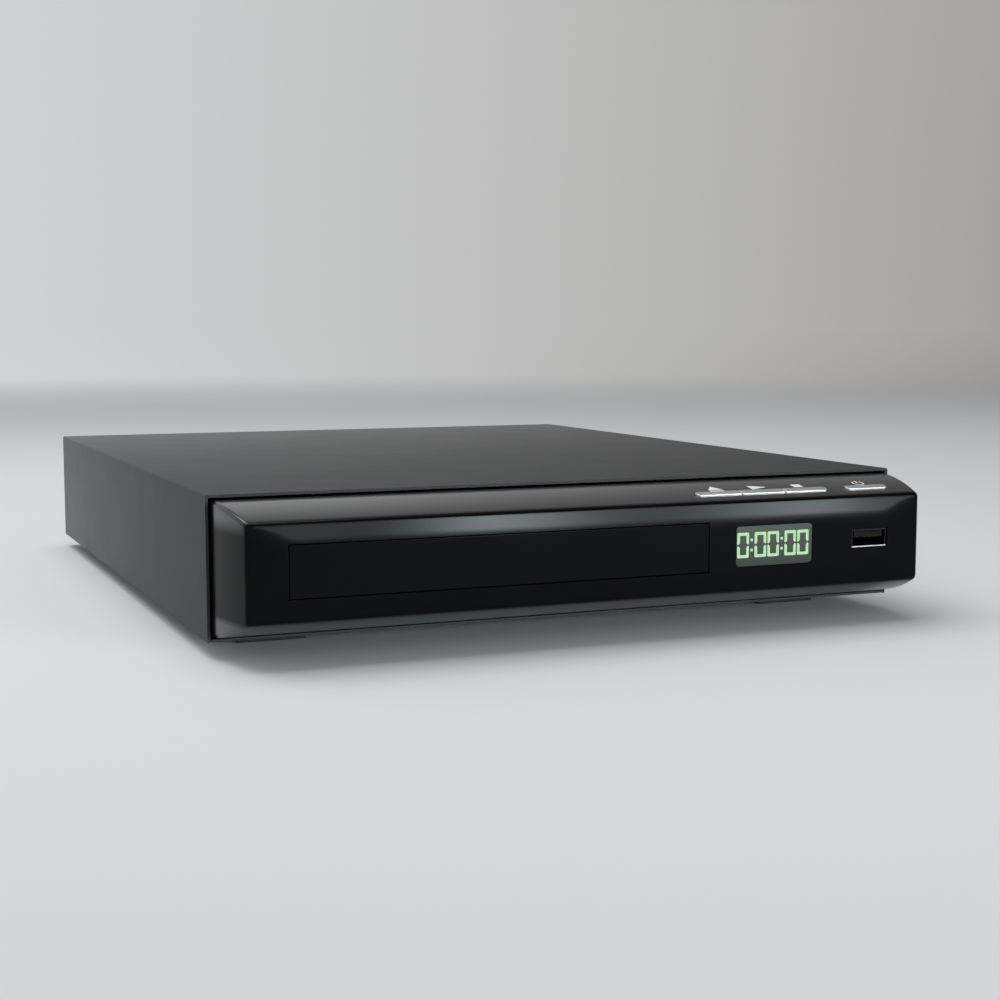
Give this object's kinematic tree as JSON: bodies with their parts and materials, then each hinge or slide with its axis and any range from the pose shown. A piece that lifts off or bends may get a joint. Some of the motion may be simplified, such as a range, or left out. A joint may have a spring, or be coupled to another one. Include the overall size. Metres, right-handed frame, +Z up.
{
  "type": "disc player",
  "caption": "Slim tabletop disc player with a sliding tray, folded steel cover, bevelled gloss front, lit clock display, socket and top-edge keys.",
  "frame": {"origin": "middle of the whole player's footprint, at the soles of the feet", "axes": "+Z up, front looks along -Y, +X to the right when seen from the front"},
  "size_m": [0.24, 0.3168, 0.0492],
  "materials": {
    "painted_cover": "satin dark grey paint",
    "zinc_steel": "zinc-plated sheet",
    "gloss_black": "high gloss",
    "silver_key": "silver lacquer, satin",
    "smoked_window": "gloss, smoked grey",
    "lit_green": "lit",
    "black_plastic": "fine matt",
    "grey_plastic": "fine matt",
    "white_plastic": "fine matt",
    "circuit_board": "solder resist, satin",
    "chip_black": "moulded resin",
    "rubber_black": "matt",
    "bright_steel": "polished",
    "nickel": "plated",
    "cast_metal": "as cast",
    "lens_glass": "polished",
    "can_sleeve": "shrunk sleeve",
    "ferrite": "sintered",
    "jack_plastic": "moulded",
    "belt_rubber": "matt"
  },
  "bodies": {
    "case": {"top_cover": "painted_cover", "bottom_chassis": "painted_cover", "rear_panel": "zinc_steel", "cover_screws": "nickel", "foot_front_left": "rubber_black", "foot_front_right": "rubber_black", "foot_rear_left": "rubber_black", "foot_rear_right": "rubber_black", "front_panel": "gloss_black", "display_window": "smoked_window", "display_module": "black_plastic", "display_digits": "lit_green", "front_board": "circuit_board", "ir_receiver": "chip_black", "usb_socket": "bright_steel", "usb_tongue": "black_plastic", "button_board": "circuit_board", "tact_switches": "black_plastic", "loader_frame": "black_plastic", "loading_motor": "bright_steel", "drive_belt": "belt_rubber", "clamp_bridge": "black_plastic", "main_board": "circuit_board", "power_board": "circuit_board", "standoffs": "nickel", "board_screws": "nickel", "board_components": "chip_black", "heat_sink": "cast_metal", "ribbon_cable": "white_plastic", "transformer": "ferrite", "power_capacitors": "can_sleeve", "power_inlet": "black_plastic", "inlet_pins": "nickel", "jack_block": "black_plastic", "jack_shells": "nickel", "jack_inserts": "jack_plastic", "video_socket": "nickel"},
    "tray": {"disc_tray": "black_plastic", "tray_front": "gloss_black"},
    "drive_gear_body": {"drive_gear": "white_plastic"},
    "pulley_body": {"pulley_gear": "white_plastic"},
    "motor_pulley_body": {"motor_pulley": "white_plastic"},
    "cam": {"cam_slider": "white_plastic"},
    "lift": {"lift_frame": "grey_plastic", "rubber_dampers": "rubber_black", "drive_deck": "zinc_steel", "guide_rods": "bright_steel", "spindle_motor": "bright_steel", "sled_motor": "bright_steel"},
    "spindle": {"turntable": "black_plastic"},
    "clamp": {"clamper": "grey_plastic"},
    "sled": {"pickup_sled": "cast_metal"},
    "lens": {"pickup_lens": "lens_glass"},
    "sled_gear_body": {"sled_gear": "white_plastic"},
    "sled_pinion_body": {"sled_pinion": "white_plastic"},
    "eject_key": {"eject_button": "silver_key"},
    "play_key": {"play_button": "silver_key"},
    "stop_key": {"stop_button": "silver_key"},
    "power_key": {"power_button": "silver_key"}
  },
  "joints": [
    {"name": "tray_slide", "type": "slide", "parent": "case", "child": "tray", "axis": [0, -1, 0], "range_m": [0, 0.13]},
    {"name": "drive_gear_turn", "type": "hinge", "parent": "case", "child": "drive_gear_body", "pos_m": [0.018, -0.11528, 0.0233], "axis": [0, 0, 1], "range_deg": [-745.85, 0]},
    {"name": "pulley_turn", "type": "hinge", "parent": "case", "child": "pulley_body", "pos_m": [0.018, -0.09728, 0.0203], "axis": [0, 0, 1], "range_deg": [0, 1490.69]},
    {"name": "motor_pulley_turn", "type": "hinge", "parent": "case", "child": "motor_pulley_body", "pos_m": [0.018, -0.06427, 0.0183], "axis": [0, 0, 1], "range_deg": [0, 5214.92]},
    {"name": "cam_slide", "type": "slide", "parent": "case", "child": "cam", "axis": [-1, 0, 0], "range_m": [0, 0.0202]},
    {"name": "lift_tilt", "type": "hinge", "parent": "case", "child": "lift", "pos_m": [-0.034, 0.00473, 0.0193], "axis": [1, 0, 0], "range_deg": [0, 3.32]},
    {"name": "spindle_spin", "type": "hinge", "parent": "lift", "child": "spindle", "pos_m": [-0.034, -0.09037, 0.0303], "axis": [0, 0, 1], "continuous": true},
    {"name": "clamper_spin", "type": "hinge", "parent": "case", "child": "clamp", "pos_m": [-0.034, -0.09037, 0.0333], "axis": [0, 0, 1], "continuous": true},
    {"name": "sled_slide", "type": "slide", "parent": "lift", "child": "sled", "axis": [0, 1, 0], "range_m": [0, 0.034]},
    {"name": "lens_focus", "type": "slide", "parent": "sled", "child": "lens", "axis": [0, 0, 1], "range_m": [0, 0.0006], "stiffness_N_per_m": 200},
    {"name": "sled_gear_turn", "type": "hinge", "parent": "lift", "child": "sled_gear_body", "pos_m": [-0.067, -0.04027, 0.0263], "axis": [0, 0, 1], "range_deg": [0, 325.68]},
    {"name": "sled_pinion_turn", "type": "hinge", "parent": "lift", "child": "sled_pinion_body", "pos_m": [-0.079, -0.04027, 0.0263], "axis": [0, 0, 1], "range_deg": [-325.68, 0]},
    {"name": "eject_press", "type": "slide", "parent": "case", "child": "eject_key", "axis": [0, 0.2437, -0.9699], "range_m": [0, 0.0006], "stiffness_N_per_m": 1500, "springref_m": -0.0004},
    {"name": "play_press", "type": "slide", "parent": "case", "child": "play_key", "axis": [0, 0.2437, -0.9699], "range_m": [0, 0.0006], "stiffness_N_per_m": 1500, "springref_m": -0.0004},
    {"name": "stop_press", "type": "slide", "parent": "case", "child": "stop_key", "axis": [0, 0.2437, -0.9699], "range_m": [0, 0.0006], "stiffness_N_per_m": 1500, "springref_m": -0.0004},
    {"name": "power_press", "type": "slide", "parent": "case", "child": "power_key", "axis": [0, 0.2437, -0.9699], "range_m": [0, 0.0006], "stiffness_N_per_m": 1500, "springref_m": -0.0004}
  ],
  "couplings": [
    {"joint": "drive_gear_turn", "follows": "tray_slide", "rad_per_m": -100},
    {"joint": "pulley_turn", "follows": "tray_slide", "rad_per_m": 200},
    {"joint": "motor_pulley_turn", "follows": "tray_slide", "rad_per_m": 700},
    {"joint": "cam_slide", "follows": "tray_slide", "ratio": 0.15385},
    {"joint": "lift_tilt", "follows": "tray_slide", "rad_per_m": 0.44305},
    {"joint": "clamper_spin", "follows": "spindle_spin", "ratio": 1},
    {"joint": "sled_gear_turn", "follows": "sled_slide", "rad_per_m": 166.67},
    {"joint": "sled_pinion_turn", "follows": "sled_slide", "rad_per_m": -166.67}
  ]
}
